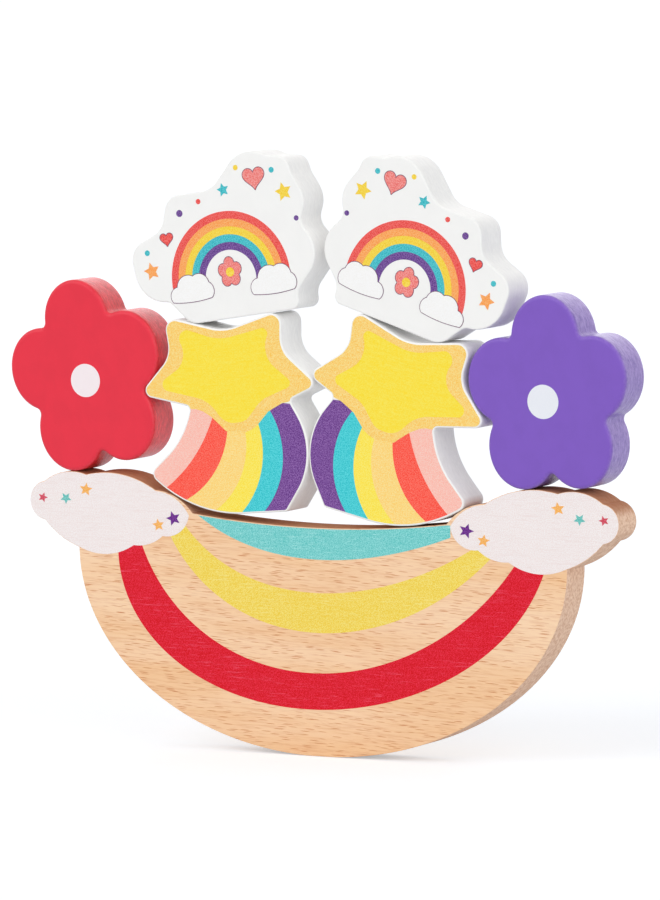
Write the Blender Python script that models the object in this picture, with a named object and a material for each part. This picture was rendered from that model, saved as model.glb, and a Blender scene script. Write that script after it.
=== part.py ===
# Balance stacking toy: a rocking rainbow base and six loose wooden blocks stacked on it.
# Metres, +Z up, +X to the viewer's right; the printed fronts face -Y.
# The origin is the middle of the small flat on which the rocker stands.

import math

import bmesh
import bpy
import numpy as np

mm = 0.001

# Rocking base, cut from one board
base_thick = 18.0 * mm
rocker_half_width = 124.0 * mm
rocker_depth = 90.0 * mm
foot_flat = 14.0 * mm
saddle_sag = 4.1 * mm

# Each cloud end is a chain of lobes that starts at the rocker's shoulder.
# A row gives where a lobe ends, out from and above the shoulder, and the lobe's radius.
cloud_lobes = (
    (17.9 * mm, 11.9 * mm, 40.8 * mm),
    (17.9 * mm, 29.7 * mm, 9.0 * mm),
    (-4.2 * mm, 33.45 * mm, 24.0 * mm),
    (-40.2 * mm, 27.65 * mm, 47.0 * mm),
    (-59.4 * mm, 17.75 * mm, 25.5 * mm),
)

# Loose blocks, cut from a thicker board
block_thick = 20.0 * mm

# Flower: equal round lobes on a ring, a little narrower than high
flower_lobes = 5
flower_ring = 26.6 * mm
flower_lobe_radius = 18.9 * mm
flower_notch_radius = 2.8 * mm
flower_width_ratio = 0.88

# Shooting star: half widths and heights from the middle of the star
star_arm_half = 30.5 * mm
star_arm_top = 28.8 * mm
star_dip_top = 20.5 * mm
star_waist_half = 28.8 * mm
star_waist_top = 10.5 * mm
star_tip_half = 46.4 * mm
star_tip_drop = 6.3 * mm
star_arm_round = 5.0 * mm
star_tip_round = 3.5 * mm
star_waist_round = 12.0 * mm
star_dip_round = 25.0 * mm

# The star's tail bends to the left: its corners, out from and above the middle of the star
tail_root_left = (-20.3 * mm, -13.0 * mm)
tail_bend_left = (-25.8 * mm, -27.5 * mm)
tail_end_left = (-44.6 * mm, -42.4 * mm)
tail_belly = (-22.7 * mm, -62.6 * mm)
tail_end_right = (25.0 * mm, -62.5 * mm)
tail_bend_right = (44.3 * mm, -37.0 * mm)
tail_root_right = (31.0 * mm, -12.3 * mm)
tail_root_round = 2.0 * mm
tail_end_left_round = 4.5 * mm
tail_end_right_round = 2.5 * mm
tail_bend_left_round = 40.0 * mm
tail_belly_round = 75.0 * mm
tail_bend_right_round = 32.0 * mm

# Picture block: corners of its wavy outline from its middle, each with its rounding
picture_corners = (
    (35.2 * mm, -35.3 * mm, 4.0 * mm),
    (34.8 * mm, -27.5 * mm, 8.0 * mm),
    (51.5 * mm, -11.0 * mm, 16.0 * mm),
    (40.8 * mm, 2.8 * mm, 8.0 * mm),
    (46.4 * mm, 13.0 * mm, 13.0 * mm),
    (40.8 * mm, 25.0 * mm, 10.0 * mm),
    (39.2 * mm, 32.8 * mm, 6.0 * mm),
    (30.0 * mm, 34.4 * mm, 10.0 * mm),
    (17.5 * mm, 41.3 * mm, 15.0 * mm),
    (-1.5 * mm, 23.2 * mm, 12.0 * mm),
    (-24.2 * mm, 23.4 * mm, 8.0 * mm),
    (-29.8 * mm, 8.6 * mm, 10.0 * mm),
    (-47.6 * mm, 2.2 * mm, 9.0 * mm),
    (-45.5 * mm, -22.0 * mm, 15.0 * mm),
    (-30.8 * mm, -24.0 * mm, 5.0 * mm),
    (-21.5 * mm, -35.3 * mm, 9.0 * mm),
)

# Eased edges, and how finely curves are cut into straight facets
base_edge = 0.6 * mm
flower_edge = 1.8 * mm
print_edge = 1.0 * mm
edge_steps = 2
chord_error = 0.08 * mm
crease_angle = 35.0

# How the stack stands: turns in degrees, anticlockwise as the viewer sees them.
# The left star is wedged between its neighbours a little clear of the base.
seat_gap = 0.3 * mm
tip_gap = 0.4 * mm
left_star_rise = 0.8 * mm
left_star_turn = 4.5
right_star_turn = -13.5
red_flower_turn = 12.0
purple_flower_turn = 2.7
left_picture_turn = 8.0
right_picture_turn = -19.0
left_star_x = -45.2 * mm
left_picture_offset = -2.3 * mm
right_picture_offset = 11.0 * mm

# The search for a picture's resting turn: first reach in degrees, trials in a round,
# and how much the reach narrows from one round to the next
turn_reach = 6.0
turn_trials = 13
turn_narrowing = 4.0
seat_rounds = 4

# Finishes: colour in linear light and roughness
finishes = {
    "beech": ((0.83, 0.54, 0.31), 0.55),
    "red_paint": ((0.79, 0.048, 0.075), 0.35),
    "purple_paint": ((0.22, 0.11, 0.51), 0.35),
    "white_paint": ((0.91, 0.90, 0.87), 0.45),
}


# Points along an arc from start to end that bulges to the right of the way it runs.
def bulged(start, end, radius):
    start = np.array(start)
    end = np.array(end)
    way = end - start
    length = math.hypot(*way)
    half_angle = math.asin(min(1.0, length / (2.0 * radius)))
    right = np.array((way[1], -way[0])) / length
    centre = (start + end) / 2.0 - right * radius * math.cos(half_angle)
    return arc(centre, start, 2.0 * half_angle)


# Points on a circle about a centre, from a start point through a signed angle.
def arc(centre, start, angle):
    spoke = np.array(start) - centre
    radius = math.hypot(*spoke)
    step = 2.0 * math.acos(1.0 - min(0.5, chord_error / radius))
    count = max(1, math.ceil(abs(angle) / step))
    first = math.atan2(spoke[1], spoke[0])
    turns = first + angle * np.arange(count + 1) / count
    return np.stack((centre[0] + radius * np.cos(turns), centre[1] + radius * np.sin(turns)), 1)


# A closed outline, anticlockwise, from corners that each have their own rounding.
# Where two roundings would meet on the edge between them, both give way in proportion.
def filleted(corners):
    places = np.array([corner[:2] for corner in corners])
    ahead = np.roll(places, -1, axis=0) - places
    length = np.hypot(*ahead.T)
    ahead = ahead / length[:, None]
    back = -np.roll(ahead, 1, axis=0)
    half = np.arccos(np.clip(np.sum(back * ahead, axis=1), -1.0, 1.0)) / 2.0
    reach = np.array([corner[2] for corner in corners]) / np.tan(half)
    room = np.minimum(1.0, length / (reach + np.roll(reach, -1)))
    reach = reach * np.minimum(room, np.roll(room, 1))
    runs = []
    for here, to_last, to_next, lean, run in zip(places, back, ahead, half, reach):
        middle = to_last + to_next
        centre = here + middle / math.hypot(*middle) * run / math.cos(lean)
        side = math.copysign(1.0, to_last[1] * to_next[0] - to_last[0] * to_next[1])
        runs.append(arc(centre, here + to_last * run, side * (math.pi - 2.0 * lean)))
    return np.concatenate(runs)


# Drops points that repeat the one before them.
def thinned(points):
    apart = np.linalg.norm(points - np.roll(points, 1, axis=0), axis=1)
    return points[apart > chord_error]


# The base: half an ellipse with a flat foot, a cloud at each end, and a hollow top between them.
def base_outline():
    foot_angle = math.asin(0.5 * foot_flat / rocker_half_width)
    steps = math.ceil(0.25 * math.pi / math.acos(1.0 - chord_error / rocker_half_width))
    turns = np.linspace(foot_angle, 0.5 * math.pi, steps)
    foot_rise = rocker_depth * (1.0 - math.cos(foot_angle))
    side = np.stack((rocker_half_width * np.sin(turns),
                     rocker_depth * (1.0 - np.cos(turns)) - foot_rise), 1)
    shoulder = side[-1]
    runs = [side]
    for out, up, radius in cloud_lobes:
        runs.append(bulged(runs[-1][-1], shoulder + np.array((out, up)), radius))
    right = np.concatenate(runs)
    left = right[::-1] * np.array((-1.0, 1.0))
    rim = right[-1]
    saddle_radius = (rim[0] ** 2 + saddle_sag ** 2) / (2.0 * saddle_sag)
    saddle = bulged(left[0], rim, saddle_radius)[::-1]
    return thinned(np.concatenate((right, saddle, left)))


# A flower: lobes on a ring, joined by small fillets in the notches.
def flower_outline():
    pitch = 2.0 * math.pi / flower_lobes
    half = 0.5 * pitch
    across = flower_ring * math.sin(half)
    notch_spoke = flower_lobe_radius + flower_notch_radius
    notch_far = flower_ring * math.cos(half) + math.sqrt(notch_spoke ** 2 - across ** 2)
    runs = []
    for index in range(flower_lobes):
        spoke = 0.5 * math.pi + index * pitch
        lobe = flower_ring * np.array((math.cos(spoke), math.sin(spoke)))
        before = notch_far * np.array((math.cos(spoke - half), math.sin(spoke - half)))
        after = notch_far * np.array((math.cos(spoke + half), math.sin(spoke + half)))
        enter = lobe + (before - lobe) * flower_lobe_radius / notch_spoke
        leave = lobe + (after - lobe) * flower_lobe_radius / notch_spoke
        sweep = 2.0 * math.pi - 2.0 * turn_between(enter - lobe, -lobe)
        runs.append(arc(lobe, enter, sweep))
        runs.append(arc(after, leave, -2.0 * turn_between(leave - after, -after)))
    return thinned(np.concatenate(runs)) * np.array((flower_width_ratio, 1.0))


# The angle between two directions.
def turn_between(one, other):
    return math.acos(float(one @ other) / math.hypot(*one) / math.hypot(*other))


# A shooting star whose tail bends to the left.
def star_outline():
    return filleted((
        (star_tip_half, -star_tip_drop, star_tip_round),
        (star_waist_half, star_waist_top, star_waist_round),
        (star_arm_half, star_arm_top, star_arm_round),
        (0.0, star_dip_top, star_dip_round),
        (-star_arm_half, star_arm_top, star_arm_round),
        (-star_waist_half, star_waist_top, star_waist_round),
        (-star_tip_half, -star_tip_drop, star_tip_round),
        (*tail_root_left, tail_root_round),
        (*tail_bend_left, tail_bend_left_round),
        (*tail_end_left, tail_end_left_round),
        (*tail_belly, tail_belly_round),
        (*tail_end_right, tail_end_right_round),
        (*tail_bend_right, tail_bend_right_round),
        (*tail_root_right, tail_root_round),
    ))


# The same outline seen in a mirror, still anticlockwise.
def mirrored(outline):
    return outline[::-1] * np.array((-1.0, 1.0))


# An outline turned about its middle and moved to a place.
def posed(outline, turn, place):
    angle = math.radians(turn)
    spin = np.array(((math.cos(angle), math.sin(angle)), (-math.sin(angle), math.cos(angle))))
    return outline @ spin + np.array(place)


# How far rays from points run along a direction before they meet an outline's edges.
def ray_reach(points, way, outline):
    edge = np.roll(outline, -1, axis=0) - outline
    start = outline[None] - points[:, None]
    cross = way[0] * edge[:, 1] - way[1] * edge[:, 0]
    cross = np.where(np.abs(cross) < 1e-12, np.nan, cross)
    along = (start[..., 0] * edge[:, 1] - start[..., 1] * edge[:, 0]) / cross
    share = (start[..., 0] * way[1] - start[..., 1] * way[0]) / cross
    hit = (share >= 0.0) & (share <= 1.0) & (along >= 0.0)
    return np.min(along[hit], initial=math.inf)


# How far a block can slide along a direction before it meets another outline.
def free_travel(block, way, other):
    way = np.array(way)
    return min(ray_reach(block, way, other), ray_reach(other, -way, block))


# Lowers a block from above until the seat gap is left between it and what carries it.
def lowered(outline, turn, x, carrier):
    above = 2.0 * (carrier[:, 1].max() + np.abs(outline).max())
    block = posed(outline, turn, (x, above))
    return above - free_travel(block, (0.0, -1.0), carrier) + seat_gap


# Seats a block on its carrier while it is pushed sideways up to a neighbour.
def nested(outline, turn, x, carrier, neighbour, push, gap):
    away = 2.0 * np.abs(outline).max()
    for _ in range(seat_rounds):
        z = lowered(outline, turn, x, carrier)
        start = x - push * away
        block = posed(outline, turn, (start, z))
        x = start + push * (free_travel(block, (push, 0.0), neighbour) - gap)
    return turn, (x, z)


# Seats a block at the turn where its middle lies lowest, so that it rests on two places.
def balanced(outline, turn, x, carrier):
    reach = turn_reach
    for _ in range(seat_rounds):
        turns = turn + reach * np.linspace(-1.0, 1.0, turn_trials)
        heights = [lowered(outline, trial, x, carrier) for trial in turns]
        turn = float(turns[int(np.argmin(heights))])
        reach = reach / turn_narrowing
    return turn, (x, lowered(outline, turn, x, carrier))


# A flat piece cut to an outline, with both rims eased, standing upright on the XZ plane.
def cut_piece(name, outline, thick, edge, finish, pose=(0.0, (0.0, 0.0))):
    bm = bmesh.new()
    front = [bm.verts.new((x, -0.5 * thick, z)) for x, z in outline]
    face = bm.faces.new(front)
    grown = bmesh.ops.extrude_face_region(bm, geom=[face])
    back = [part for part in grown["geom"] if isinstance(part, bmesh.types.BMVert)]
    bmesh.ops.translate(bm, vec=(0.0, thick, 0.0), verts=back)
    bmesh.ops.recalc_face_normals(bm, faces=bm.faces[:])
    rims = [rim for rim in bm.edges if abs(rim.verts[0].co.y - rim.verts[1].co.y) < 0.5 * thick]
    bmesh.ops.bevel(bm, geom=rims, offset=edge, segments=edge_steps, profile=0.5, affect="EDGES")
    mesh = bpy.data.meshes.new(name)
    bm.to_mesh(mesh)
    bm.free()
    mesh.shade_smooth()
    mesh.set_sharp_from_angle(angle=math.radians(crease_angle))
    mesh.materials.append(finish_material(finish))
    turn, place = pose
    piece = bpy.data.objects.new(name, mesh)
    piece.location = (place[0], 0.0, place[1])
    piece.rotation_euler = (0.0, -math.radians(turn), 0.0)
    bpy.context.scene.collection.objects.link(piece)
    return piece


# One material for each finish.
def finish_material(finish):
    material = bpy.data.materials.get(finish)
    if material is None:
        colour, roughness = finishes[finish]
        material = bpy.data.materials.new(finish)
        material.use_nodes = True
        shader = material.node_tree.nodes["Principled BSDF"]
        shader.inputs["Base Color"].default_value = (*colour, 1.0)
        shader.inputs["Roughness"].default_value = roughness
        shader.inputs["Metallic"].default_value = 0.0
    return material


for old in list(bpy.data.objects):
    bpy.data.objects.remove(old)

base = base_outline()
flower = flower_outline()
star = star_outline()
star_right = mirrored(star)
picture = filleted(picture_corners)
picture_right = mirrored(picture)

# Seat the blocks in the order in which a child stacks them
left_star_z = lowered(star, left_star_turn, left_star_x, base) + left_star_rise
left_star_pose = (left_star_turn, (left_star_x, left_star_z))
left_star = posed(star, *left_star_pose)
right_star_pose = nested(star_right, right_star_turn, -left_star_x, base, left_star, -1.0, tip_gap)
right_star = posed(star_right, *right_star_pose)
red_start = left_star[:, 0].min()
red_flower_pose = nested(flower, red_flower_turn, red_start, base, left_star, 1.0, seat_gap)
purple_start = right_star[:, 0].max()
purple_flower_pose = nested(flower, purple_flower_turn, purple_start, base, right_star, -1.0, seat_gap)
left_picture_x = left_star_pose[1][0] + left_picture_offset
left_picture_pose = balanced(picture, left_picture_turn, left_picture_x, left_star)
right_picture_x = right_star_pose[1][0] + right_picture_offset
right_picture_pose = balanced(picture_right, right_picture_turn, right_picture_x, right_star)

cut_piece("rainbow_base", base, base_thick, base_edge, "beech")
cut_piece("left_star", star, block_thick, print_edge, "white_paint", left_star_pose)
cut_piece("right_star", star_right, block_thick, print_edge, "white_paint", right_star_pose)
cut_piece("red_flower", flower, block_thick, flower_edge, "red_paint", red_flower_pose)
cut_piece("purple_flower", flower, block_thick, flower_edge, "purple_paint", purple_flower_pose)
cut_piece("left_picture", picture, block_thick, print_edge, "white_paint", left_picture_pose)
cut_piece("right_picture", picture_right, block_thick, print_edge, "white_paint", right_picture_pose)
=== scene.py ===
import math

import bpy
import numpy as np
from mathutils import Matrix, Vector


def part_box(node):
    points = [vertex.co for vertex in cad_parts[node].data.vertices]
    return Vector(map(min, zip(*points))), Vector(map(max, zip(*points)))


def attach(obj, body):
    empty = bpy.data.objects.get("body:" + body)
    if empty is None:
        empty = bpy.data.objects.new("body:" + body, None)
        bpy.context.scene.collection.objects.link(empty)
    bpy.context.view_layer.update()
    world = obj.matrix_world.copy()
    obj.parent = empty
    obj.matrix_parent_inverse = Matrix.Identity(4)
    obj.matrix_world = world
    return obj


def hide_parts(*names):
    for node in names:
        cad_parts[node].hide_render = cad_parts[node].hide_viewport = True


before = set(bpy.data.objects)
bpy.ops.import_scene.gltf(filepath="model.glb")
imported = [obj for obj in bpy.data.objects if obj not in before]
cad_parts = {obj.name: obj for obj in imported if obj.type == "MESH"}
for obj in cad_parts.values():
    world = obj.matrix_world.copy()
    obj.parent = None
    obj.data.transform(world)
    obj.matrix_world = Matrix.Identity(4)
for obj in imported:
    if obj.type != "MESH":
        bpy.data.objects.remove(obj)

mm = 0.001
mirror = np.array((-1.0, 1.0))  # turns left and right about in a loop
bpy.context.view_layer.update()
print("frame:", ", ".join(sorted(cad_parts)))


# screen colour, 0 to 255, to the linear colour that shaders take
def screen(red, green, blue):
    share = np.array((red, green, blue)) / 255.0
    low = share / 12.92
    high = ((share + 0.055) / 1.055) ** 2.4
    return (*np.where(share <= 0.04045, low, high).tolist(), 1.0)


# curves in the plane of the boards: x to the right, z up, anticlockwise loops

# circle: centre plus radius times the cosine and sine of an angle that runs evenly
def arcOf(centre, radius, first, last, count=90):
    angle = np.linspace(first, last, count)
    return np.stack((centre[0] + radius * np.cos(angle), centre[1] + radius * np.sin(angle)), 1)


# chain of arcs from point to point, each bulging to its right: the centre lies left of the
# middle of the chord, as far as the radius and half the chord leave over
def lobeChain(points, radii, count=60):
    points, radii = np.array(points), np.array(radii)
    way = points[1:] - points[:-1]
    length = np.hypot(*way.T)
    half = np.arcsin(np.clip(length / (2.0 * radii), 0.0, 1.0))
    right = np.stack((way[:, 1], -way[:, 0]), 1) / length[:, None]
    centre = points[:-1] + way / 2.0 - right * (radii * np.cos(half))[:, None]
    first = np.arctan2(*(points[:-1] - centre).T[::-1])
    angle = first[:, None] + 2.0 * half[:, None] * np.linspace(0.0, 1.0, count)
    spoke = np.stack((np.cos(angle), np.sin(angle)), -1) * radii[:, None, None]
    return (centre[:, None] + spoke).reshape(-1, 2)


# polygon with rounded corners: each corner gives way to an arc that touches both edges, and
# two arcs that would meet on an edge shrink in proportion
def roundedLoop(corners, count=48):
    corners = np.array(corners)
    here, radius = corners[:, :2], corners[:, 2]
    ahead = np.roll(here, -1, axis=0) - here
    length = np.hypot(*ahead.T)
    ahead = ahead / length[:, None]
    back = -np.roll(ahead, 1, axis=0)
    lean = np.arccos(np.clip(np.sum(back * ahead, 1), -1.0, 1.0)) / 2.0
    reach = radius / np.tan(lean)
    room = np.minimum(1.0, length / (reach + np.roll(reach, -1)))
    reach = reach * np.minimum(room, np.roll(room, 1))
    middle = back + ahead
    middle = middle / np.hypot(*middle.T)[:, None]
    centre = here + middle * (reach / np.cos(lean))[:, None]
    start = here + back * reach[:, None] - centre
    side = np.sign(back[:, 1] * ahead[:, 0] - back[:, 0] * ahead[:, 1])
    sweep = side * (math.pi - 2.0 * lean)
    angle = np.arctan2(start[:, 1], start[:, 0])[:, None] + sweep[:, None] * np.linspace(0.0, 1.0, count)
    spoke = np.stack((np.cos(angle), np.sin(angle)), -1) * np.hypot(*start.T)[:, None, None]
    return (centre[:, None] + spoke).reshape(-1, 2)


# the same loop with points at even steps along it
def evenly(loop, step):
    closed = np.concatenate((loop, loop[:1]))
    run = np.concatenate(((0.0,), np.cumsum(np.hypot(*np.diff(closed, axis=0).T))))
    at = np.linspace(0.0, run[-1], max(12, int(run[-1] / step)), endpoint=False)
    return np.stack((np.interp(at, run, closed[:, 0]), np.interp(at, run, closed[:, 1])), 1)


# every point moved inwards along its own normal
def inset(loop, distance):
    along = np.roll(loop, -1, axis=0) - np.roll(loop, 1, axis=0)
    inwards = np.stack((-along[:, 1], along[:, 0]), 1) / np.hypot(*along.T)[:, None]
    return loop + inwards * distance


# anticlockwise order, whatever order the points came in
def anticlockwise(loop):
    ahead = np.roll(loop, -1, axis=0)
    area = np.sum(loop[:, 0] * ahead[:, 1] - loop[:, 1] * ahead[:, 0])
    return loop if area > 0.0 else loop[::-1]


# five-pointed star: the radius swings between point and valley
def starLoop(centre, radius, valley, wide=1.0, tilt=0.0):
    angle = math.radians(90.0 + tilt) + np.arange(10) * math.pi / 5.0
    reach = np.where(np.arange(10) % 2 == 0, radius, radius * valley)
    return np.stack((centre[0] + wide * reach * np.cos(angle), centre[1] + reach * np.sin(angle)), 1)


# heart: x is the cube of a sine, z a sum of four cosines
def heartLoop(centre, width):
    angle = np.linspace(0.0, 2.0 * math.pi, 120, endpoint=False)
    x = 16.0 * np.sin(angle) ** 3
    z = 13.0 * np.cos(angle) - 5.0 * np.cos(2.0 * angle) - 2.0 * np.cos(3.0 * angle) - np.cos(4.0 * angle)
    return anticlockwise(np.stack((centre[0] + x * width / 32.0, centre[1] + z * width / 32.0), 1))


def circleLoop(centre, radius):
    return arcOf(centre, radius, 0.0, 2.0 * math.pi, 97)[:-1]


# meshes

# closed surface from rings: ring after ring of one loop, walls between them, flat ends
def ringFaces(rows, count, start=0):
    index = start + np.arange(rows * count).reshape(rows, count)
    near, far = index[:-1], index[1:]
    walls = np.stack((near, far, np.roll(far, -1, 1), np.roll(near, -1, 1)), -1).reshape(-1, 4)
    return walls.tolist() + [index[0].tolist(), index[-1][::-1].tolist()]


def upright(loop, depth):
    return np.stack((loop[:, 0], np.full(len(loop), depth), loop[:, 1]), 1)


def addPiece(name, mesh, body, node=None):
    piece = bpy.data.objects.new(name, mesh)
    bpy.context.scene.collection.objects.link(piece)
    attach(piece, body)
    if node:
        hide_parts(node)


rimSteps, wallSteps = 8, 7  # rings round a rim and across a sawn edge
faceRing = 0.4 * mm  # one more ring inside the rim keeps the flat face's shading flat


# board: the rim's quarter circle is carried round the loop, front and back, with a straight
# wall between; "wall" is 0 on the faces and 1 on the sawn edge
def boardMesh(name, loop, thick, rim, material):
    swing = np.linspace(0.0, 0.5 * math.pi, rimSteps)
    sink = np.concatenate(((rim + faceRing,), rim * (1.0 - np.sin(swing))))
    depth = np.concatenate(((0.0,), rim * (1.0 - np.cos(swing)))) - 0.5 * thick
    edge = np.concatenate(((0.0,), swing / swing[-1]))
    wall = np.linspace(depth[-1], -depth[-1], wallSteps)[1:-1]
    sinks = np.concatenate((sink, np.zeros(len(wall)), sink[::-1]))
    depths = np.concatenate((depth, wall, -depth[::-1]))
    edges = np.concatenate((edge, np.ones(len(wall)), edge[::-1]))
    rings = np.stack([upright(inset(loop, inwards), back) for inwards, back in zip(sinks, depths)])
    faces = ringFaces(len(sinks), len(loop))
    mesh = bpy.data.meshes.new(name)
    mesh.from_pydata(rings.reshape(-1, 3).tolist(), [], faces)
    smooth = np.ones(len(faces), dtype=bool)
    smooth[-2:] = False
    mesh.polygons.foreach_set("use_smooth", smooth)
    layer = mesh.attributes.new("wall", "FLOAT", "POINT")
    layer.data.foreach_set("value", np.repeat(edges, len(loop)))
    mesh.materials.append(material)
    mesh.update()
    return mesh


inkFilm = 0.05 * mm  # thickness of one coat of ink


# print: each patch is a loop carried a film's thickness out of the board's front
def printMesh(name, patches, front):
    points, faces, colours, inks = [], [], [], []
    start = 0
    for ink, coat, loop in patches:
        loop = anticlockwise(loop)
        points += [upright(loop, front - coat * inkFilm), upright(loop, front + inkFilm)]
        patchFaces = ringFaces(2, len(loop), start)
        faces += patchFaces
        if ink not in inks:
            inks.append(ink)
        colours += [inks.index(ink)] * len(patchFaces)
        start += 2 * len(loop)
    mesh = bpy.data.meshes.new(name)
    mesh.from_pydata(np.concatenate(points).tolist(), [], faces)
    mesh.polygons.foreach_set("material_index", np.array(colours, dtype=np.int32))
    for ink in inks:
        mesh.materials.append(ink)
    mesh.update()
    return mesh


# materials

def addNode(tree, kind, inputs=None, **settings):
    node = tree.nodes.new(kind)
    for key, value in settings.items():
        setattr(node, key, value)
    for key, value in (inputs or {}).items():
        if isinstance(value, bpy.types.NodeSocket):
            tree.links.new(value, node.inputs[key])
        else:
            node.inputs[key].default_value = value
    return node


def newFinish(name):
    material = bpy.data.materials.new(name)
    material.use_nodes = True
    return material, material.node_tree, material.node_tree.nodes["Principled BSDF"]


# object coordinates, turned with the block about the y axis and stretched along the grain
def grainSpace(tree, turn, stretch):
    where = addNode(tree, "ShaderNodeTexCoord").outputs["Object"]
    swung = addNode(tree, "ShaderNodeMapping", {"Vector": where, "Rotation": (0.0, math.radians(turn), 0.0)})
    return addNode(tree, "ShaderNodeMapping", {"Vector": swung.outputs[0], "Scale": stretch}).outputs[0]


def noiseAt(tree, space, detail, rough=0.55):
    return addNode(tree, "ShaderNodeTexNoise", {
        "Vector": space, "Scale": 1.0, "Detail": detail, "Roughness": rough}).outputs["Fac"]


# smooth step from least to most while the value goes from low to high
def spread(tree, value, low, high, least=0.0, most=1.0):
    return addNode(tree, "ShaderNodeMapRange", {
        "Value": value, "From Min": low, "From Max": high, "To Min": least, "To Max": most},
        interpolation_type="SMOOTHSTEP").outputs["Result"]


def blendOf(tree, share, one, other):
    return addNode(tree, "ShaderNodeMix", {0: share, 6: one, 7: other}, data_type="RGBA").outputs[2]


def combine(tree, one, other, operation="MULTIPLY"):
    return addNode(tree, "ShaderNodeMath", {0: one, 1: other}, operation=operation).outputs[0]


def edgeShare(tree):
    return addNode(tree, "ShaderNodeAttribute", attribute_name="wall").outputs["Fac"]


def roughen(tree, shader, height, strength, distance):
    bump = addNode(tree, "ShaderNodeBump", {"Height": height, "Strength": strength, "Distance": distance})
    tree.links.new(bump.outputs["Normal"], shader.inputs["Normal"])


beech = {
    "light": (252, 216, 179), "deep": (245, 200, 154), "dash": (196, 102, 30), "fleck": (160, 78, 18),
    # painted shade on up-facing sawn edges: its brown colour and the share of it that is mixed in
    "wallLight": (251, 218, 193), "wallDark": (222, 178, 148), "shadedTopColour": (176, 110, 72), "topShadeShare": 0.8,
    "gloss": 0.2, "rough": (0.5, 0.68), "relief": 0.25, "wave": 1.6 * mm, "waveScale": 22.0,
    "lean": -0.04,  # turn of the grain in radians
    "low": (12.0 * mm, 60.0 * mm), "lowTone": (0.12, -0.06),  # heights between which the wood pales
    # stretch of the patterns along x, y and z
    "broad": (7.0, 40.0, 62.0), "fine": (90.0, 700.0, 1500.0), "clumps": (14.0, 40.0, 40.0),
    "streaks": (260.0, 700.0, 700.0),
    # lenses: how thin, how rarely picked, and their stretch
    "dashes": (0.28, 0.2, 92.0, 260.0, 1950.0), "flecks": (0.3, 0.3, 62.0, 200.0, 1500.0),
    "lensCore": 0.55, "lensFade": 0.45,  # share of a lens at full strength, range from faint to strong lenses
    "fineShare": 0.28, "dashShare": 0.9, "fleckShare": 0.85,
}


# bare beech: broad bands, fine wavy dashes along the grain, dark flecks in clumps, and matt
# sawn edges that are painted darker brown where they face up: painted shade for the shade under the blocks
# above.
# Dashes and flecks are stretched cells: a lens round the middle of those that are picked
def beechWood():
    material, tree, shader = newFinish("bareBeech")
    where = addNode(tree, "ShaderNodeTexCoord").outputs["Object"]
    sway = addNode(tree, "ShaderNodeTexNoise", {
        "Vector": where, "Scale": beech["waveScale"], "Detail": 1.0}).outputs["Color"]
    leaning = addNode(tree, "ShaderNodeMapping", {
        "Vector": where, "Rotation": (0.0, beech["lean"], 0.0)}).outputs[0]
    wavy = addNode(tree, "ShaderNodeVectorMath", {0: sway, 1: (0.0, 0.0, beech["wave"]), 2: leaning},
                   operation="MULTIPLY_ADD").outputs[0]

    def along(*stretch):
        return addNode(tree, "ShaderNodeMapping", {"Vector": wavy, "Scale": stretch}).outputs[0]

    def lenses(thin, picked, *stretch):
        cells = addNode(tree, "ShaderNodeTexVoronoi", {"Vector": along(*stretch), "Scale": 1.0})
        near = spread(tree, cells.outputs["Distance"], beech["lensCore"] * thin, thin, 1.0, 0.0)
        strong = spread(tree, cells.outputs["Color"], picked, picked + beech["lensFade"])
        return combine(tree, near, strong)

    height = addNode(tree, "ShaderNodeSeparateXYZ", {"Vector": where}).outputs["Z"]
    broad = combine(tree, noiseAt(tree, along(*beech["broad"]), 3.0),
                    spread(tree, height, *beech["low"], *beech["lowTone"]), "ADD")
    fine = noiseAt(tree, along(*beech["fine"]), 3.0, 0.6)
    clumps = spread(tree, noiseAt(tree, along(*beech["clumps"]), 2.0), 0.54, 0.66)
    flecks = combine(tree, lenses(*beech["flecks"]), clumps)
    tone = blendOf(tree, spread(tree, broad, 0.3, 0.72), screen(*beech["light"]), screen(*beech["deep"]))
    lines = spread(tree, fine, 0.42, 0.75, 0.0, beech["fineShare"])
    tone = blendOf(tree, lines, tone, screen(*beech["dash"]))
    dashes = combine(tree, lenses(*beech["dashes"]), beech["dashShare"])
    tone = blendOf(tree, dashes, tone, screen(*beech["dash"]))
    tone = blendOf(tree, combine(tree, flecks, beech["fleckShare"]), tone, screen(*beech["fleck"]))

    streaks = spread(tree, noiseAt(tree, along(*beech["streaks"]), 4.0, 0.7), 0.34, 0.68)
    brown = blendOf(tree, streaks, screen(*beech["wallLight"]), screen(*beech["wallDark"]))
    # painted shade: sawn edges that face up are mixed towards a darker brown, standing in for the shade under
    # the blocks on them
    facing = addNode(tree, "ShaderNodeTexCoord").outputs["Normal"]
    upward = addNode(tree, "ShaderNodeSeparateXYZ", {"Vector": facing}).outputs["Z"]
    paintedTopShade = spread(tree, upward, 0.2, 0.9, 0.0, beech["topShadeShare"])
    brown = blendOf(tree, paintedTopShade, brown, screen(*beech["shadedTopColour"]))

    share = spread(tree, edgeShare(tree), 0.2, 1.0)
    tree.links.new(blendOf(tree, share, tone, brown), shader.inputs["Base Color"])
    tree.links.new(spread(tree, fine, 0.3, 0.8, *beech["rough"]), shader.inputs["Roughness"])
    gloss = spread(tree, share, 0.0, 1.0, beech["gloss"], 0.0)
    tree.links.new(gloss, shader.inputs["Specular IOR Level"])
    roughen(tree, shader, combine(tree, fine, flecks, "SUBTRACT"), beech["relief"], 0.1 * mm)
    return material


# stretch of the patterns in paint along x, y and z
paintGrain = {"mottle": (120.0, 120.0, 90.0), "grain": (300.0, 800.0, 300.0), "speck": (1500.0, 1100.0, 900.0)}
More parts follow.
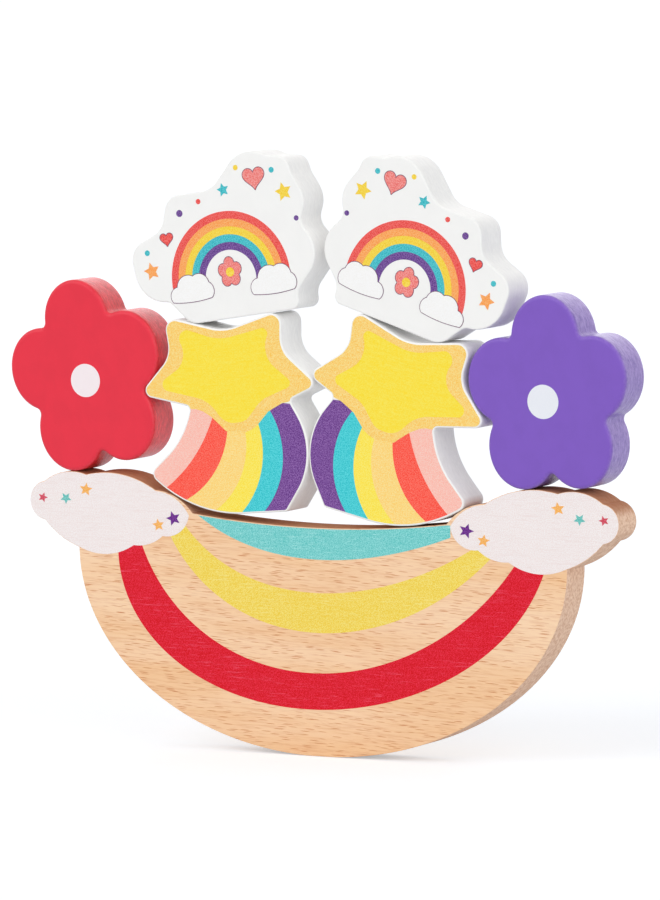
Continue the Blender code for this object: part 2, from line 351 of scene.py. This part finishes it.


# satin paint over wood: even on the faces, streaky on the sawn edge, a paler rim that is part wear and part
# painted highlight
def satinPaint(name, paint, turn):
    material, tree, shader = newFinish(name)
    mottle = noiseAt(tree, grainSpace(tree, turn, paintGrain["mottle"]), 4.0)
    grain = noiseAt(tree, grainSpace(tree, turn, paintGrain["grain"]), 4.0, 0.75)
    speck = noiseAt(tree, grainSpace(tree, turn, paintGrain["speck"]), 2.0, 0.6)
    shade = tuple(paint["mottle"] * part for part in screen(*paint["face"])[:3]) + (1.0,)
    front = blendOf(tree, spread(tree, mottle, 0.35, 0.7), screen(*paint["face"]), shade)
    streaks = spread(tree, grain, 0.3, 0.7)
    side = blendOf(tree, streaks, screen(*paint["wallDark"]), screen(*paint["wallPale"]))
    edge = edgeShare(tree)
    painted = blendOf(tree, spread(tree, edge, 0.35, 1.0), front, side)
    # paler flecked band round the rounded front rim: part wear, part a painted highlight along the edge
    wornHighlightRidge = combine(tree, spread(tree, edge, 0.02, 0.4), spread(tree, edge, 0.45, 0.95, 1.0, 0.0))
    wearAndHighlight = combine(tree, wornHighlightRidge, spread(tree, speck, 0.35, 0.65, 0.0, paint["rimWearAndHighlight"]))
    tree.links.new(blendOf(tree, wearAndHighlight, painted, screen(*paint["rim"])), shader.inputs["Base Color"])
    rough = spread(tree, speck, 0.3, 0.8, paint["rough"] - 0.06, paint["rough"] + 0.1)
    tree.links.new(rough, shader.inputs["Roughness"])
    gloss = spread(tree, edge, 0.3, 1.0, paint["gloss"], paint["wallGloss"])
    tree.links.new(gloss, shader.inputs["Specular IOR Level"])
    rise = combine(tree, combine(tree, grain, speck, "ADD"), spread(tree, edge, 0.3, 1.0, 0.05, 1.0))
    roughen(tree, shader, rise, paint["relief"], 0.2 * mm)
    return material


inkLook = {
    "lines": (110.0, 500.0, 1900.0), "speck": (2300.0, 2300.0, 2600.0),  # stretch along x, y and z
    "coats": (1.0, -0.63, -1.1),  # thick, thin and thinnest: change of the coat in shares of its density
    "rough": (0.48, 0.62), "gloss": 0.12, "relief": 0.12,
}
inkMade = {}


# ink on wood: the coat is thicker and thinner in fine specks and in lines along the grain, and
# a coat lets through the colour raised to its thickness
def inkOn(name, colour, turn=0.0, lined=0.25, thinned=0.1, density=0.5):
    key = f"{name}Ink{turn:+.0f}"
    if key not in inkMade:
        material, tree, shader = newFinish(key)
        lines = noiseAt(tree, grainSpace(tree, turn, inkLook["lines"]), 3.0, 0.6)
        speck = noiseAt(tree, grainSpace(tree, turn, inkLook["speck"]), 1.0, 0.5)
        through = np.array(screen(*colour)[:3])
        thick, thin, thinnest = ((*(through ** (1.0 + density * change)).tolist(), 1.0)
                                 for change in inkLook["coats"])
        tone = blendOf(tree, spread(tree, speck, 0.32, 0.68), thick, thin)
        tone = blendOf(tree, spread(tree, lines, 0.5, 0.7, 0.0, lined), tone, thick)
        tone = blendOf(tree, spread(tree, lines, 0.3, 0.42, thinned, 0.0), tone, thinnest)
        tree.links.new(tone, shader.inputs["Base Color"])
        tree.links.new(spread(tree, lines, 0.3, 0.8, *inkLook["rough"]), shader.inputs["Roughness"])
        shader.inputs["Specular IOR Level"].default_value = inkLook["gloss"]
        roughen(tree, shader, lines, inkLook["relief"], 0.08 * mm)
        inkMade[key] = material
    return inkMade[key]


print("tools ready")

# how the blocks stand: the turn of each, and its place from the box of its solid
turns = {
    "left_star": 4.5, "right_star": -13.5, "red_flower": 12.0, "purple_flower": 2.7,
    "left_picture": 8.8, "right_picture": -18.36,
}
places = {}


def turned(loop, degrees):
    angle = math.radians(degrees)
    spin = np.array(((math.cos(angle), math.sin(angle)), (-math.sin(angle), math.cos(angle))))
    return loop @ spin


# turns a block's loop and slides it to the middle of its solid's box
def standing(loop, node):
    low, high = (np.array(corner)[[0, 2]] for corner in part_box(node))
    swung = turned(loop, turns[node])
    places[node] = (low + high) / 2.0 - (swung.min(0) + swung.max(0)) / 2.0
    return swung + places[node]


# a print's loop carried to where its block stands
def onBlock(loop, node, flip=False):
    return turned(loop * mirror if flip else loop, turns[node]) + places[node]


# rocking base
base = {
    "thick": 18.0 * mm, "rim": 0.2 * mm, "halfWidth": 124.0 * mm, "depth": 90.0 * mm,
    "flat": 14.0 * mm, "sag": 4.1 * mm, "step": 0.5 * mm,
    # cloud end: stops from the shoulder, and the radius of the lobe that leads to each
    "lobes": ((17.9, 11.9, 40.8), (17.9, 29.7, 9.0), (-4.2, 33.45, 24.0), (-40.2, 27.65, 47.0),
              (-59.4, 17.75, 25.5)),
}


# half an ellipse from the flat foot to the shoulder, the cloud's lobes, and the hollow top;
# the left half is the mirror of the right
def baseLoop():
    foot = math.asin(0.5 * base["flat"] / base["halfWidth"])
    angle = np.linspace(foot, 0.5 * math.pi, 400)
    side = np.stack((base["halfWidth"] * np.sin(angle), base["depth"] * (math.cos(foot) - np.cos(angle))), 1)
    lobes = np.array(base["lobes"]) * mm
    stops = np.concatenate((side[-1:], side[-1] + lobes[:, :2]))
    right = np.concatenate((side, lobeChain(stops, lobes[:, 2])))
    left = right[::-1] * mirror
    reach = right[-1, 0]
    radius = (reach ** 2 + base["sag"] ** 2) / (2.0 * base["sag"])
    hollow = lobeChain((left[0], right[-1]), (radius,), 200)[::-1]
    return evenly(np.concatenate((right, hollow, left)), base["step"]), hollow


baseOutline, hollowTop = baseLoop()
addPiece("rockingBase", boardMesh("rockingBase", baseOutline, base["thick"], base["rim"], beechWood()),
         "base", "rainbow_base")
print("rocking base made")

# print on the base: bands, clouds, little stars
basePrint = {
    "teal": (122, 212, 209), "yellow": (246, 220, 92), "red": (225, 18, 38), "cloud": (246, 237, 235),
    # how far the grain darkens and thins the ink, and its density
    "bandInk": (0.3, 0.5), "cloudInk": (0.6, 0.0, 0.75),
    # edges of the bands: middle, half width, half height and turn of an ellipse
    "tealLow": (59.5, 219.9, 168.2, 108.9, 34.4),
    "yellowHigh": (35.7, 180.1, 130.3, 92.6, 34.4), "yellowLow": (17.7, 152.1, 109.0, 89.5, 34.4),
    "redHigh": (11.2, 137.0, 111.9, 94.8, 30.2), "redLow": (6.4, 99.0, 110.6, 77.0, 8.9),
    "tealTop": 124.0, "yellowTop": 104.0, "redTop": 97.0,  # heights at which the edges are cut
    "tealReach": (-64.3, 66.5), "topGap": 0.42, "leastTeal": 0.02,
    "cloudStops": ((123.95, 90.1), (141.8, 101.95), (141.8, 119.35), (119.8, 123.1), (83.5, 117.0),
                   (66.4, 106.5), (80.2, 96.7), (95.3, 91.9), (123.95, 90.1)),
    "cloudRounds": (40.6, 8.78, 23.8, 46.8, 20.2, 12.0, 19.7, 29.3), "cloudStep": 0.5 * mm,
    "starValley": 0.46, "starWide": 1.12,
}
# little stars: colour, then x, z, radius and turn of each
littleStars = {
    "rose": ((216, 78, 98), ((-142.8, 112.0, 2.35, -18.0), (142.3, 112.2, 2.35, 18.0))),
    "sea": ((114, 201, 194), ((-130.6, 112.1, 2.75, 180.0), (130.4, 112.3, 2.75, 180.0))),
    "amber": ((250, 186, 96), ((-120.0, 116.5, 3.1, -8.0), (119.9, 116.7, 3.1, 8.0),
                               (-82.3, 101.6, 2.9, 9.0), (83.0, 101.0, 2.9, -9.0))),
    "violet": ((110, 40, 142), ((-74.4, 104.9, 3.45, 18.0), (74.5, 105.1, 3.45, -18.0))),
}


# lower part of a turned ellipse, left to right: from its top round by way of the left, cut level
def bandEdge(x, z, wide, tall, turn, top):
    around = np.linspace(0.5 * math.pi, 2.5 * math.pi, 481)
    loop = turned(np.stack((wide * np.cos(around), tall * np.sin(around)), 1), turn) + np.array((x, z))
    return loop[loop[:, 1] < top] * mm


# band: the strip between two such edges, with its ends under the clouds
def bandLoop(band):
    low, high = (bandEdge(*basePrint[band + side], basePrint[f"{band}Top"]) for side in ("Low", "High"))
    return np.concatenate((low, high[::-1]))


# teal band: from its edge up to a line just under the hollow top
def tealLoop():
    across = np.linspace(*basePrint["tealReach"], 240) * mm
    low = np.interp(across, *bandEdge(*basePrint["tealLow"], basePrint["tealTop"]).T)
    high = np.interp(across, hollowTop[::-1, 0], hollowTop[::-1, 1]) - basePrint["topGap"] * mm
    low = np.minimum(low, high - basePrint["leastTeal"] * mm)
    return np.concatenate((np.stack((across, low), 1), np.stack((across, high), 1)[::-1]))


bands = {"teal": tealLoop(), "yellow": bandLoop("yellow"), "red": bandLoop("red")}
basePatches = [(inkOn(band, basePrint[band], 0.0, *basePrint["bandInk"]), 1, loop)
               for band, loop in bands.items()]
cloudRight = lobeChain(np.array(basePrint["cloudStops"]) * mm, np.array(basePrint["cloudRounds"]) * mm)
cloudRight = evenly(cloudRight, basePrint["cloudStep"])
cloudInk = inkOn("cloud", basePrint["cloud"], 0.0, *basePrint["cloudInk"])
basePatches += [(cloudInk, 2, cloudRight), (cloudInk, 2, cloudRight * mirror)]
for name, (colour, spots) in littleStars.items():
    for x, z, radius, tilt in spots:
        spot = starLoop((x * mm, z * mm), radius * mm, basePrint["starValley"], basePrint["starWide"], tilt)
        basePatches.append((inkOn(name, colour), 3, spot))
addPiece("rainbowPrint", printMesh("rainbowPrint", basePatches, -0.5 * base["thick"]), "base")
print("base print made")

# flowers
flower = {
    "thick": 20.0 * mm, "rim": 1.8 * mm, "lobes": 5, "ring": 26.6 * mm, "lobe": 18.9 * mm, "notch": 2.8 * mm,
    "narrow": 0.88, "step": 0.45 * mm, "dot": 7.6 * mm, "dotInk": (0.2, 0.0, 0.1),
}


# flower: equal circles on a ring, joined in the notches by small arcs that touch both
def flowerLoop():
    half = math.pi / flower["lobes"]
    spoke = flower["lobe"] + flower["notch"]
    across = flower["ring"] * math.sin(half)
    far = flower["ring"] * math.cos(half) + math.sqrt(spoke ** 2 - across ** 2)
    lean = math.asin(across / spoke)  # at the notch, between its spoke and the lobe's
    runs = []
    for index in range(flower["lobes"]):
        middle = 0.5 * math.pi + 2.0 * half * index
        lobe = flower["ring"] * np.array((math.cos(middle), math.sin(middle)))
        swing = half + lean
        runs.append(arcOf(lobe, flower["lobe"], middle - swing, middle + swing))
        notch = far * np.array((math.cos(middle + half), math.sin(middle + half)))
        inward = middle + half + math.pi
        runs.append(arcOf(notch, flower["notch"], inward + lean, inward - lean, 24))
    return evenly(np.concatenate(runs), flower["step"]) * np.array((flower["narrow"], 1.0))


# rim: the paler colour of the front rim, part wear and part painted highlight
flowerPaints = {
    "red_flower": {
        "name": "redFlower", "slot": "red_paint", "face": (234, 48, 68), "wallDark": (198, 10, 28),
        "wallPale": (244, 52, 66), "rim": (236, 84, 96), "dotShift": (-0.6, -1.0), "dot": (248, 236, 238),
    },
    "purple_flower": {
        "name": "purpleFlower", "slot": "purple_paint", "face": (128, 90, 193), "wallDark": (116, 88, 172),
        "wallPale": (166, 142, 208), "rim": (158, 130, 206), "dotShift": (-2.0, -1.7), "dot": (236, 238, 244),
    },
}
# wear: how strongly the paler rim, part wear and part painted highlight, is mixed in
flowerSatin = {"mottle": 0.96, "rough": 0.36, "gloss": 0.25, "wallGloss": 0.65, "rimWearAndHighlight": 0.25, "relief": 0.5}
flowerShape = flowerLoop()
for node, paint in flowerPaints.items():
    name = paint["name"]
    satin = satinPaint(f"{name}Paint", {**flowerSatin, **paint}, turns[node])
    board = boardMesh(name, standing(flowerShape, node), flower["thick"], flower["rim"], satin)
    addPiece(name, board, node, node)
    dot = circleLoop(np.array(paint["dotShift"]) * mm + places[node], flower["dot"])
    dotInk = inkOn(f"{name}Dot", paint["dot"], turns[node], *flower["dotInk"])
    addPiece(f"{name}Dot", printMesh(f"{name}Dot", [(dotInk, 1, dot)], -0.5 * flower["thick"]), node)
print("flowers made")

# shooting stars: corners as out, up and rounding; arcs between stripes as centre and radius
star = {
    "thick": 20.0 * mm, "rim": 0.7 * mm, "step": 0.4 * mm, "printGap": 0.85 * mm,
    "corners": ((46.4, -6.3, 3.5), (28.8, 10.5, 12.0), (30.5, 28.8, 5.0), (0.0, 20.5, 25.0),
                (-30.5, 28.8, 5.0), (-28.8, 10.5, 12.0), (-46.4, -6.3, 3.5), (-20.3, -13.0, 2.0),
                (-25.8, -27.5, 40.0), (-44.6, -42.4, 4.5), (-22.7, -62.6, 75.0), (25.0, -62.5, 2.5),
                (44.3, -37.0, 32.0), (31.0, -12.3, 2.0)),
    "border": (253, 215, 120), "middle": (253, 229, 76), "middleInk": (0.9, 0.4, 0.26),
    "heart": ((34.4, -5.4, 2.5), (17.8, 8.8, 13.8), (24.8, 21.8, 3.1), (-2.5, 16.4, 25.1),
              (-27.0, 24.8, 4.6), (-18.6, 8.1, 10.7), (-38.4, -3.4, 3.0), (-10.7, -10.5, 17.5),
              (-2.6, -21.8, 9.7), (7.9, -20.7, 7.2), (16.6, -11.5, 13.6)),
    "rightRoot": (30.2, -12.6), "leftRoot": (-19.6, -13.6),
    "lowEdge": ((-17.0, -14.2), (-13.8, -15.3), (-9.6, -18.1), (-6.0, -21.5), (-2.8, -24.7), (2.2, -25.4),
                (7.2, -25.7), (10.4, -24.7), (13.4, -23.0), (16.5, -20.0), (19.6, -17.0), (23.0, -15.4),
                (27.0, -13.6)),
    "stripes": {"pink": (254, 199, 185), "coral": (255, 92, 74), "orange": (255, 221, 132),
                "lemon": (254, 234, 86), "aqua": (64, 209, 216), "plum": (122, 73, 154)},
    "stripeArcs": ((-71.97, 9.18, 68.44), (-41.94, -17.76, 40.4), (-29.45, -28.38, 36.65),
                   (-23.94, -32.22, 39.3), (-11.31, -34.81, 36.71)),
    "stripeTop": -12.0 * mm, "tailTop": -13.5 * mm, "cutBelow": -40.0 * mm,
}


def scaledRows(rows):
    return np.array(rows) * mm


# tail stripes: the loop's own lower edge is cut where circles cross it, and each stripe lies
# between two neighbouring circles; they start hidden under the star
def stripeLoops(edge):
    tail = edge[edge[:, 1] < star["tailTop"]]  # from its left root round to its right root
    cuts, arcs = [0], [None]
    for x, z, radius in scaledRows(star["stripeArcs"]):
        away = np.abs(np.hypot(tail[:, 0] - x, tail[:, 1] - z) - radius)
        away[tail[:, 1] > star["cutBelow"]] = 1.0
        cut = int(np.argmin(away))
        first = math.asin((star["stripeTop"] - z) / radius)
        last = math.atan2(tail[cut, 1] - z, tail[cut, 0] - x)
        arcs.append(arcOf((x, z), radius, first, last, 60))
        cuts.append(cut)
    cuts.append(len(tail) - 1)
    arcs.append(None)
    loops = []
    for index in range(len(cuts) - 1):
        runs = [tail[cuts[index]:cuts[index + 1] + 1]]
        if arcs[index] is not None:
            runs.insert(0, arcs[index][:-1])
        if arcs[index + 1] is not None:
            runs.append(arcs[index + 1][-2::-1])
        loops.append(np.concatenate(runs))
    return loops


starShape = evenly(roundedLoop(scaledRows(star["corners"])), star["step"])
starEdge = inset(starShape, star["printGap"])
starHeart = evenly(roundedLoop(scaledRows(star["heart"])), star["step"])


# border of the star: the block's own edge above the tail, closed below by a curved point
def headLoop():
    rightRoot = np.argmin(np.hypot(*(starEdge - scaledRows(star["rightRoot"])).T))
    leftRoot = np.argmin(np.hypot(*(starEdge - scaledRows(star["leftRoot"])).T))
    order = np.arange(rightRoot, rightRoot + (leftRoot - rightRoot) % len(starEdge) + 1) % len(starEdge)
    return np.concatenate((starEdge[order], scaledRows(star["lowEdge"])))


# rim and wear: the paler front rim, part wear and part painted highlight, and how strongly it is mixed in
blockPaint = {
    "face": (247, 246, 243), "wallDark": (240, 239, 238), "wallPale": (249, 248, 246), "rim": (251, 250, 248),
    "mottle": 0.985, "rough": 0.48, "gloss": 0.3, "wallGloss": 0.3, "rimWearAndHighlight": 0.5, "relief": 0.08,
}


def whiteBlock(turn):
    return satinPaint(f"whitePaint{turn:+.0f}", blockPaint, turn)


for node, name, flip in (("left_star", "leftStar", False), ("right_star", "rightStar", True)):
    shape = starShape[::-1] * mirror if flip else starShape
    turn = turns[node]
    board = boardMesh(f"{name}Block", standing(shape, node), star["thick"], star["rim"], whiteBlock(turn))
    addPiece(f"{name}Block", board, node, node)
    patches = [(inkOn(tint, colour, turn), 1, onBlock(loop, node, flip))
               for (tint, colour), loop in zip(star["stripes"].items(), stripeLoops(starEdge))]
    patches.append((inkOn("border", star["border"], turn), 2, onBlock(headLoop(), node, flip)))
    middleInk = inkOn("gold", star["middle"], turn, *star["middleInk"])
    patches.append((middleInk, 3, onBlock(starHeart, node, flip)))
    addPiece(f"{name}Print", printMesh(f"{name}Print", patches, -0.5 * star["thick"]), node)
print("shooting stars made")

# picture blocks: corners as out, up and rounding; places and sizes in the print in millimetres
picture = {
    "thick": 20.0 * mm, "rim": 0.7 * mm, "step": 0.4 * mm,
    "corners": ((35.2, -35.3, 4.0), (34.8, -27.5, 8.0), (51.5, -11.0, 16.0), (40.8, 2.8, 8.0),
                (46.4, 13.0, 13.0), (40.8, 25.0, 10.0), (39.2, 32.8, 6.0), (30.0, 34.4, 10.0),
                (17.5, 41.3, 15.0), (-1.5, 23.2, 12.0), (-24.2, 23.4, 8.0), (-29.8, 8.6, 10.0),
                (-47.6, 2.2, 9.0), (-45.5, -22.0, 15.0), (-30.8, -24.0, 5.0), (-21.5, -35.3, 9.0)),
    "tints": {"coral": (240, 88, 82), "tangerine": (252, 172, 92), "lemon": (248, 216, 66),
              "aqua": (66, 194, 203), "plum": (112, 72, 150), "rose": (243, 140, 134),
              "puff": (250, 249, 247), "line": (112, 66, 100)},
    "lineWidth": 0.32 * mm, "lineStep": 0.2 * mm, "foldShare": 0.96,
    "arch": (2.5, -17.5, 30.5, 0.2), "archBand": 3.5,  # centre, radius and how far the legs go on
    "archTints": ("coral", "tangerine", "lemon", "aqua", "plum"),
    "cloudStops": ((-10.0, 0.0), (10.0, 0.0), (9.2, 7.0), (1.5, 10.5), (-7.0, 6.5), (-10.0, 0.0)),
    "cloudRounds": (60.0, 4.4, 5.0, 5.6, 4.0), "cloudStep": 0.3 * mm,
    "clouds": ((-18.5, -24.5, 1.0), (23.5, -26.0, 1.05)),
    "hearts": ((21.5, 26.0, 11.0, "rose"), (-27.5, 4.5, 6.5, "coral")),
    "stars": ((35.5, 17.5, 4.4, "lemon"), (5.0, 22.5, 3.2, "aqua"), (-37.5, -9.0, 4.2, "tangerine")),
    "starValley": 0.5, "starTilt": 8.0,
    "dots": ((-19.0, 15.0, 1.6, "plum"), (-8.5, 19.0, 1.2, "coral"), (13.0, 31.5, 1.2, "lemon"),
             (31.0, 28.0, 1.3, "aqua"), (-38.5, -0.5, 1.3, "aqua"), (40.0, 5.0, 1.2, "plum")),
    "bloom": (2.5, -14.5, 0.15, "rose"), "bloomEye": (2.1, "lemon"),
}
pictureShape = evenly(roundedLoop(scaledRows(picture["corners"])), picture["step"])


# little rainbow between clouds, with a bloom under it and hearts, stars and dots around
def picturePatches(node, turn, flip):
    patches = []

    def lay(tint, coat, loop):
        patches.append((inkOn(tint, picture["tints"][tint], turn), coat, onBlock(loop, node, flip)))

    # a wider loop of line colour lies under the shape, without the points that fold back into it
    def outlined(tint, coat, loop):
        wide = inset(loop, -picture["lineWidth"])
        apart = np.linalg.norm(wide[:, None] - loop[None], axis=2).min(1)
        lay("line", coat, wide[apart > picture["foldShare"] * picture["lineWidth"]])
        lay(tint, coat + 1, loop)

    x, z, radius, leg = picture["arch"]
    for tint in picture["archTints"]:
        outer = arcOf((x * mm, z * mm), radius * mm, -leg, math.pi + leg, 120)
        radius -= picture["archBand"]
        inner = arcOf((x * mm, z * mm), radius * mm, -leg, math.pi + leg, 120)
        lay(tint, 1, np.concatenate((outer, inner[::-1])))
    cloud = lobeChain(scaledRows(picture["cloudStops"]), scaledRows(picture["cloudRounds"]))
    cloud = evenly(cloud, picture["cloudStep"])
    for x, z, size in picture["clouds"]:
        outlined("puff", 2, cloud * size + scaledRows((x, z)))
    for x, z, width, tint in picture["hearts"]:
        outlined(tint, 1, evenly(heartLoop((x * mm, z * mm), width * mm), picture["lineStep"]))
    for x, z, radius, tint in picture["stars"]:
        loop = starLoop((x * mm, z * mm), radius * mm, picture["starValley"], tilt=picture["starTilt"])
        lay(tint, 1, loop)
    for x, z, radius, tint in picture["dots"]:
        lay(tint, 1, circleLoop((x * mm, z * mm), radius * mm))
    x, z, size, tint = picture["bloom"]
    outlined(tint, 1, evenly(flowerShape * size + scaledRows((x, z)), picture["lineStep"]))
    radius, tint = picture["bloomEye"]
    lay(tint, 3, circleLoop((x * mm, z * mm), radius * mm))
    return patches


for node, name, flip in (("left_picture", "leftPicture", False), ("right_picture", "rightPicture", True)):
    shape = pictureShape[::-1] * mirror if flip else pictureShape
    turn = turns[node]
    board = boardMesh(f"{name}Block", standing(shape, node), picture["thick"], picture["rim"], whiteBlock(turn))
    addPiece(f"{name}Block", board, node, node)
    patches = picturePatches(node, turn, flip)
    addPiece(f"{name}Print", printMesh(f"{name}Print", patches, -0.5 * picture["thick"]), node)
print("picture blocks made")

# floor, light and camera; lamps as direction, strength and apparent size in degrees
stage = {
    "floorHalf": 14.0, "floorDrop": 0.1 * mm, "floorTone": (0.7, 0.73, 0.77, 1.0), "floorGlow": 0.41,
    "ambient": 0.5,
    "lamps": {
        "key": ((-0.45, -0.75, 0.5), 1.06, 50.0),
        "fill": ((0.8, -0.5, 0.35), 1.03, 60.0),
        "overhead": ((0.1, 0.35, 0.93), 0.25, 50.0),
        "rear": ((-0.25, 0.95, 0.2), 0.6, 50.0),
    },
}


# share of rays that should meet plain white: seen directly, in gloss or through glass
def plainRays(tree):
    path = addNode(tree, "ShaderNodeLightPath")
    either = combine(tree, path.outputs["Is Camera Ray"], path.outputs["Is Glossy Ray"], "MAXIMUM")
    return combine(tree, either, path.outputs["Is Transmission Ray"], "MAXIMUM")


def paleFloor():
    half, drop = stage["floorHalf"], -stage["floorDrop"]
    mesh = bpy.data.meshes.new("floor")
    corners = [(-half, -half, drop), (half, -half, drop), (half, half, drop), (-half, half, drop)]
    mesh.from_pydata(corners, [], [(0, 1, 2, 3)])
    material = bpy.data.materials.new("paleFloor")
    material.use_nodes = True
    tree = material.node_tree
    tree.nodes.clear()
    matt = addNode(tree, "ShaderNodeBsdfDiffuse", {"Color": stage["floorTone"]})
    lift = combine(tree, plainRays(tree), stage["floorGlow"])
    glow = addNode(tree, "ShaderNodeEmission", {"Color": (1.0, 1.0, 1.0, 1.0), "Strength": lift})
    both = addNode(tree, "ShaderNodeAddShader", {0: matt.outputs[0], 1: glow.outputs[0]})
    addNode(tree, "ShaderNodeOutputMaterial", {"Surface": both.outputs[0]})
    mesh.materials.append(material)
    floor = bpy.data.objects.new("floor", mesh)
    bpy.context.scene.collection.objects.link(floor)


def softLight():
    world = bpy.data.worlds.new("studio")
    bpy.context.scene.world = world
    world.use_nodes = True
    tree = world.node_tree
    tree.nodes.clear()
    dim = addNode(tree, "ShaderNodeBackground", {"Color": (1.0, 1.0, 1.0, 1.0), "Strength": stage["ambient"]})
    white = addNode(tree, "ShaderNodeBackground", {"Color": (1.0, 1.0, 1.0, 1.0), "Strength": 1.0})
    both = addNode(tree, "ShaderNodeMixShader", {0: plainRays(tree), 1: dim.outputs[0], 2: white.outputs[0]})
    addNode(tree, "ShaderNodeOutputWorld", {"Surface": both.outputs[0]})
    for name, (aim, strength, wide) in stage["lamps"].items():
        lamp = bpy.data.lights.new(name, "SUN")
        lamp.energy = strength
        lamp.angle = math.radians(wide)
        sun = bpy.data.objects.new(name, lamp)
        back = np.array(aim) / np.linalg.norm(aim)
        across = np.cross((0.0, 0.0, 1.0), back)
        across = across / np.linalg.norm(across)
        sun.matrix_world = Matrix(np.column_stack((across, np.cross(back, across), back)).tolist()).to_4x4()
        bpy.context.scene.collection.objects.link(sun)


shot = {"azimuth": 28.0, "rise": 5.5, "roll": -0.7, "focal": 7000.0, "distance": 3.15, "image": (660, 900),
        "sensor": 36.0, "reach": 100.0, "mark": (4.53 * mm, -9.0 * mm, 0.0), "markPixel": (330.0, 757.0)}


# the camera stands so that one mark on the front of the base falls on its pixel
def photoCamera():
    around, rise, roll = (math.radians(shot[key]) for key in ("azimuth", "rise", "roll"))
    back = np.array((math.sin(around) * math.cos(rise), -math.cos(around) * math.cos(rise), math.sin(rise)))
    right = np.array((math.cos(around), math.sin(around), 0.0))
    up = np.cross(back, right)
    across = right * math.cos(roll) + up * math.sin(roll)
    above = up * math.cos(roll) - right * math.sin(roll)
    width, height = shot["image"]
    aside = (shot["markPixel"][0] - width / 2.0) / shot["focal"] * shot["distance"]
    below = (shot["markPixel"][1] - height / 2.0) / shot["focal"] * shot["distance"]
    place = np.array(shot["mark"]) + back * shot["distance"] - across * aside + above * below
    lens = bpy.data.cameras.new("photo")
    lens.sensor_fit = "VERTICAL"
    lens.sensor_height = shot["sensor"]
    lens.lens = shot["sensor"] * shot["focal"] / height
    lens.clip_end = shot["reach"]
    camera = bpy.data.objects.new("photo", lens)
    turn = Matrix(np.column_stack((across, above, back)).tolist())
    camera.matrix_world = Matrix.Translation(place.tolist()) @ turn.to_4x4()
    bpy.context.scene.collection.objects.link(camera)
    bpy.context.scene.camera = camera


paleFloor()
softLight()
photoCamera()
bpy.context.scene.view_settings.view_transform = "Standard"
print("stage set")

bpy.context.view_layer.update()
